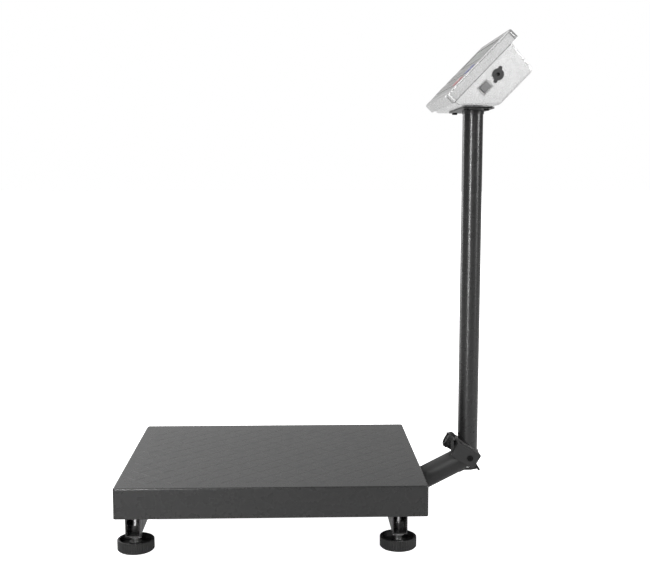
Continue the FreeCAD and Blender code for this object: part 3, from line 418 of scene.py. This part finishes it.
def welds():
    """Beads round the column's foot and the stub's root, and across the base beam's ends."""
    rng = random.Random(7)

    def bead(name, points, radius, ripple, body, closed=False):
        mesh = from_bmesh(name, lambda m: tube(m, points, radius, 8, ripple, closed, rng))
        piece(name, mesh, WELD, body, True)

    column_radius = 17.5 * MM
    foot_up = 14.5 * MM
    column_steps = 72
    ring = []
    for k in range(column_steps):
        a = 2 * math.pi * k / column_steps
        x, y = column_radius * math.cos(a), column_radius * math.sin(a)
        z = (foot_up - y * math.sin(MITRE)) / math.cos(MITRE)
        ring.append(PIN + Vector((x, y, z)))
    bead("weld_column_foot", ring, 2.0 * MM, 0.16, "column", closed=True)

    rake = math.radians(27.2)
    stub_radius = 20 * MM
    axis_under_pin = 2.6 * MM
    bead_out = 0.8 * MM
    stub_steps = 84
    tube_low, tube_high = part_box("cross_tube_rear")
    wall_y = tube_high.y
    lowest = tube_low.z - 1 * MM
    axis_z = PIN.z - axis_under_pin - (PIN.y - wall_y) * math.tan(rake)
    arc = []
    for k in range(stub_steps):
        a = 2 * math.pi * k / stub_steps
        x = stub_radius * math.cos(a)
        z = axis_z + stub_radius * math.sin(a) / math.cos(rake)
        if z > lowest:
            arc.append((a, Vector((x, wall_y + bead_out, z))))
    arc.sort(key=lambda item: (item[0] + math.pi / 2) % (2 * math.pi))
    bead("weld_stub_root", [point for _, point in arc], 2.2 * MM, 0.16, "base")

    low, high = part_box("base_beam")
    corner = 0.5 * MM
    beam_steps = 30
    for name, y, turn in (("front", low.y, 1), ("rear", high.y, -1)):
        path = [
            Vector((low.x + (high.x - low.x) * i / beam_steps, y + turn * corner, high.z + corner))
            for i in range(beam_steps + 1)
        ]
        bead("weld_beam_" + name, path, 1.8 * MM, 0.18, "base")


# ------------------------------------------------------------------ indicator face

SEGMENTS = {"0": "abcdef"}


def segment_outline(name, wide, tall, thick):
    """One bar of a seven-segment figure, a hexagon with pointed ends."""
    half_w, half_t = wide / 2, tall / 2
    spots = {
        "a": (0, half_t, True), "g": (0, 0, True), "d": (0, -half_t, True),
        "f": (-half_w, half_t / 2, False), "b": (half_w, half_t / 2, False),
        "e": (-half_w, -half_t / 2, False), "c": (half_w, -half_t / 2, False),
    }
    x, y, flat = spots[name]
    long = (wide if flat else half_t) / 2 - thick * 0.55
    t = thick / 2
    if flat:
        return [(x - long, y), (x - long + t, y - t), (x + long - t, y - t),
                (x + long, y), (x + long - t, y + t), (x - long + t, y + t)]
    return [(x, y - long), (x + t, y - long + t), (x + t, y + long - t),
            (x, y + long), (x - t, y + long - t), (x - t, y - long + t)]


def display_digits():
    """Three groups of figures behind the window, slanted like those of a counter display."""
    group_places = (-0.058, 0.0, 0.058)
    text = "00000"
    step = 9.4 * MM
    row_y = 34 * MM
    wide, tall, stroke = 5.4 * MM, 13 * MM, 1.3 * MM
    dot_y, dot = 27 * MM, 1.2 * MM
    dot_left = 2.7 * step - 24 * MM
    base = -4.0 * MM
    bottom, top = base - 0.1 * MM, base + 0.25 * MM
    slant = Matrix(((1, 0.09, 0, 0), (0, 1, 0, 0), (0, 0, 1, 0), (0, 0, 0, 1)))

    def build(made):
        for middle in group_places:
            for i, digit in enumerate(text):
                shift = Matrix.Translation((middle + (i - 2) * step, row_y, 0))
                for name in SEGMENTS[digit]:
                    outline = segment_outline(name, wide, tall, stroke)
                    prism(made, outline, bottom, top, HEAD @ shift @ slant)
            spot = middle + dot_left
            square = [
                (spot, dot_y), (spot + dot, dot_y), (spot + dot, dot_y + dot), (spot, dot_y + dot),
            ]
            prism(made, square, bottom, top, HEAD)

    piece("display_digits", from_bmesh("display_digits", build), SEGMENT, "column")


def frame_strip(name, half_x, low_y, high_y, wide, material):
    """A thin printed frame line on the panel."""
    sunk, proud = 0.1 * MM, 0.08 * MM
    low_x, high_x = -half_x, half_x

    def build(made):
        bars = (
            (low_x, high_x, low_y, low_y + wide), (low_x, high_x, high_y - wide, high_y),
            (low_x, low_x + wide, low_y + wide, high_y - wide),
            (high_x - wide, high_x, low_y + wide, high_y - wide),
        )
        for a, b, c, d in bars:
            prism(made, [(a, c), (b, c), (b, d), (a, d)], -sunk, proud, HEAD)

    piece(name, from_bmesh(name, build), material, "column")


def painted_seam_shade():
    """A near-black strip round the seam where the bezel meets the shell: painted shade in the groove
    between them.
    """
    back = HEAD.inverted()
    ups = [(back @ vertex.co).y for vertex in NODES["rear_shell"].data.vertices]
    wide, lower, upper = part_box("rear_shell")[1].x, min(ups), max(ups)
    front, deep, thick = -17.0 * MM, -18.1 * MM, 0.5 * MM

    def build(made):
        bars = (
            (-wide - thick, wide + thick, lower - thick, lower),
            (-wide - thick, wide + thick, upper, upper + thick),
            (-wide - thick, -wide, lower, upper), (wide, wide + thick, lower, upper),
        )
        for a, b, c, d in bars:
            prism(made, [(a, c), (b, c), (b, d), (a, d)], deep, front, HEAD)

    piece("painted_seam_shade", from_bmesh("painted_seam_shade", build), SEAM_SHADE, "column")


def key_legends():
    """Figures printed on the keys."""
    legends = {
        "key_1": "1", "key_2": "2", "key_3": "3", "key_4": "4", "key_5": "5", "key_6": "6",
        "key_7": "7", "key_8": "8", "key_9": "9", "key_0": "0", "key_point": ".",
        "key_clear": "C", "key_zero_set": ">0<", "key_tare": ">T<",
    }
    single, longer = 11 * MM, 9 * MM
    ink_depth = 0.06 * MM
    key_top = 1.22 * MM
    for node, text in legends.items():
        here = HEAD.inverted() @ (sum(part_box(node), Vector((0, 0, 0))) / 2)
        curve = bpy.data.curves.new("legend_" + node, "FONT")
        curve.body = text
        curve.size = single if len(text) == 1 else longer
        curve.align_x = "CENTER"
        curve.align_y = "CENTER"
        curve.extrude = ink_depth
        item = bpy.data.objects.new("legend_" + node, curve)
        bpy.context.scene.collection.objects.link(item)
        item.matrix_world = HEAD @ Matrix.Translation((here.x, here.y, key_top))
        curve.materials.append(WHITE_INK if node in ("key_tare", "key_zero_set") else INK)
        bpy.context.view_layer.update()
        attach(item, node + "_cap")


def hinge_cable():
    """The cable's loose loop through the folding joint."""
    source = NODES["signal_cable_hinge"]
    mesh = source.data.copy()
    item = bpy.data.objects.new("cable_in_joint", mesh)
    bpy.context.scene.collection.objects.link(item)
    mesh.materials.clear()
    mesh.materials.append(LOOKS["cable_jacket"])
    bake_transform(item)
    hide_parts("signal_cable_hinge")


tray_tread()
welds()
display_digits()
frame_strip("window_border", 94.5 * MM, 11.5 * MM, 56.5 * MM, 2.2 * MM, INK)
frame_strip("panel_border", 114.5 * MM, -63.5 * MM, 63.5 * MM, 1.0 * MM, WHITE_INK)
painted_seam_shade()
key_legends()
hinge_cable()


# ------------------------------------------------------------------ fine edges

EDGES = {
    "cross_tube_front": 1.2, "cross_tube_rear": 1.2, "upper_hinge_bracket": 1.0,
    "lower_hinge_bracket": 0.5, "lock_knob": 0.4, "foot_nuts": 0.5, "pole_top_plate": 0.4,
    "switch_body": 0.5, "charge_socket": 0.6, "switch_rocker": 0.5,
}
for name, width in EDGES.items():
    bevel = NODES[name].modifiers.new("edge", "BEVEL")
    bevel.width = width * MM
    bevel.segments = 2
    bevel.limit_method = "ANGLE"
    bevel.angle_limit = math.radians(40)
    bevel.harden_normals = True


# ------------------------------------------------------------------ stage and light

def stage_floor():
    """A wide pale floor, lifted to white for the camera and dimmer as a light source."""
    half = 30
    own_light = 0.25
    lift_for_camera = 0.8
    corners = ((-half, -half, 0), (half, -half, 0), (half, half, 0), (-half, half, 0))
    mesh = from_bmesh("floor", lambda m: m.faces.new([m.verts.new(Vector(p)) for p in corners]))
    floor = bpy.data.objects.new("floor", mesh)
    bpy.context.scene.collection.objects.link(floor)
    look = Look("pale_floor", rough=0.75, spec=0.2)
    look.colour(look.ramp(look.noise(3), (0.3, grey(0.93)), (0.7, grey(0.95))))
    look.shader.inputs["Emission Color"].default_value = (1, 1, 1, 1)
    ray = look.tree.nodes.new("ShaderNodeLightPath")
    glow = look.node("ShaderNodeMath")
    glow.operation = "MULTIPLY_ADD"
    glow.inputs[1].default_value = lift_for_camera
    glow.inputs[2].default_value = own_light
    look.link(ray.outputs["Is Camera Ray"], glow.inputs[0])
    look.link(glow.outputs[0], look.shader.inputs["Emission Strength"])
    look.bumps((look.noise(200), 0.03, 0.0003))
    mesh.materials.append(look.material)


COLUMN_MIDDLE = (0, 0.2646, 0.45)
HEAD_SIDE = (0, 0.40, 0.78)
TRAY_TOP = (0, -0.08, 0.1)


def strip(name, azimuth, distance, height, size, power, aim=COLUMN_MIDDLE, gloss=False):
    """A soft box, at an angle round what it aims at, from +X towards +Y; gloss is for shine only."""
    lamp = bpy.data.lights.new(name, "AREA")
    lamp.shape = "RECTANGLE"
    lamp.size, lamp.size_y = size
    lamp.energy = power
    item = bpy.data.objects.new(name, lamp)
    a = math.radians(azimuth)
    item.location = Vector(aim) + Vector((math.cos(a) * distance, math.sin(a) * distance, height))
    away = item.location - Vector(aim)
    item.rotation_euler = away.to_track_quat("Z", "Y").to_euler()
    item.visible_diffuse = not gloss
    bpy.context.scene.collection.objects.link(item)


def faded(tree, source, start, end, low, high):
    """A value that runs from low to high as the source goes from start to end."""
    item = tree.nodes.new("ShaderNodeMapRange")
    item.inputs["From Min"].default_value = start
    item.inputs["From Max"].default_value = end
    item.inputs["To Min"].default_value = low
    item.inputs["To Max"].default_value = high
    tree.links.new(source, item.inputs["Value"])
    return item.outputs["Result"]


def combined(tree, operation, first, second):
    item = tree.nodes.new("ShaderNodeMath")
    item.operation = operation
    tree.links.new(first, item.inputs[0])
    tree.links.new(second, item.inputs[1])
    return item.outputs[0]


def world():
    """Plain white to the camera; as a light, bright overhead and behind the object."""
    made = bpy.data.worlds.new("studio")
    made.use_nodes = True
    tree = made.node_tree
    where = tree.nodes.new("ShaderNodeTexCoord")
    split = tree.nodes.new("ShaderNodeSeparateXYZ")
    tree.links.new(where.outputs["Generated"], split.inputs[0])
    overhead = faded(tree, split.outputs["Z"], 0.25, 0.95, 0.24, 0.75)
    behind = faded(tree, split.outputs["X"], -0.35, -0.92, 0.0, 0.62)
    aside = faded(tree, split.outputs["Y"], 0.22, -0.30, 0.25, 1.0)
    glow = combined(tree, "MULTIPLY", behind, aside)
    total = combined(tree, "ADD", overhead, glow)
    sky = tree.nodes["Background"]
    sky.inputs["Color"].default_value = (1, 1, 1, 1)
    tree.links.new(total, sky.inputs["Strength"])
    plain = tree.nodes.new("ShaderNodeBackground")
    plain.inputs["Color"].default_value = (1, 1, 1, 1)
    ray = tree.nodes.new("ShaderNodeLightPath")
    mix = tree.nodes.new("ShaderNodeMixShader")
    tree.links.new(ray.outputs["Is Camera Ray"], mix.inputs["Fac"])
    tree.links.new(sky.outputs[0], mix.inputs[1])
    tree.links.new(plain.outputs[0], mix.inputs[2])
    tree.links.new(mix.outputs[0], tree.nodes["World Output"].inputs["Surface"])
    bpy.context.scene.world = made


def camera():
    """At the tray's right-hand side, a little above it, looking across and slightly down."""
    lens = bpy.data.cameras.new("camera")
    lens.sensor_width = 36
    lens.lens = 56.415
    lens.clip_end = 60
    away, beside_middle, up = 1.762309, 0.034034, 0.60758
    tip, roll, heading = (math.radians(a) for a in (83.35648, -0.02004, 88.14457))
    eye = bpy.data.objects.new("camera", lens)
    eye.location = (away, TRAY_MID.y + beside_middle, up)
    eye.rotation_euler = (tip, roll, heading)
    bpy.context.scene.collection.objects.link(eye)
    bpy.context.scene.camera = eye


stage_floor()
world()
strip("key_strip", -26, 2.6, 0.3, (0.14, 2.2), 16)
strip("key_gleam", -26, 2.6, 0.5, (0.12, 1.9), 60, gloss=True)
strip("fill_strip", 60, 2.4, 0.5, (0.34, 2.4), 10)
strip("fill_gleam", 60, 2.4, 1.0, (0.40, 1.4), 60, gloss=True)
strip("rim_strip", -128, 2.4, 0.5, (0.5, 2.4), 24)
strip("rim_gleam", -140, 2.4, 0.8, (0.9, 2.0), 9, gloss=True)
strip("top_box", -100, 0.8, 2.6, (1.6, 1.2), 16, aim=TRAY_TOP)
strip("head_box", 5, 1.9, 0.22, (0.9, 0.34), 2.1, aim=HEAD_SIDE, gloss=True)
camera()
bpy.context.scene.view_settings.view_transform = "Standard"
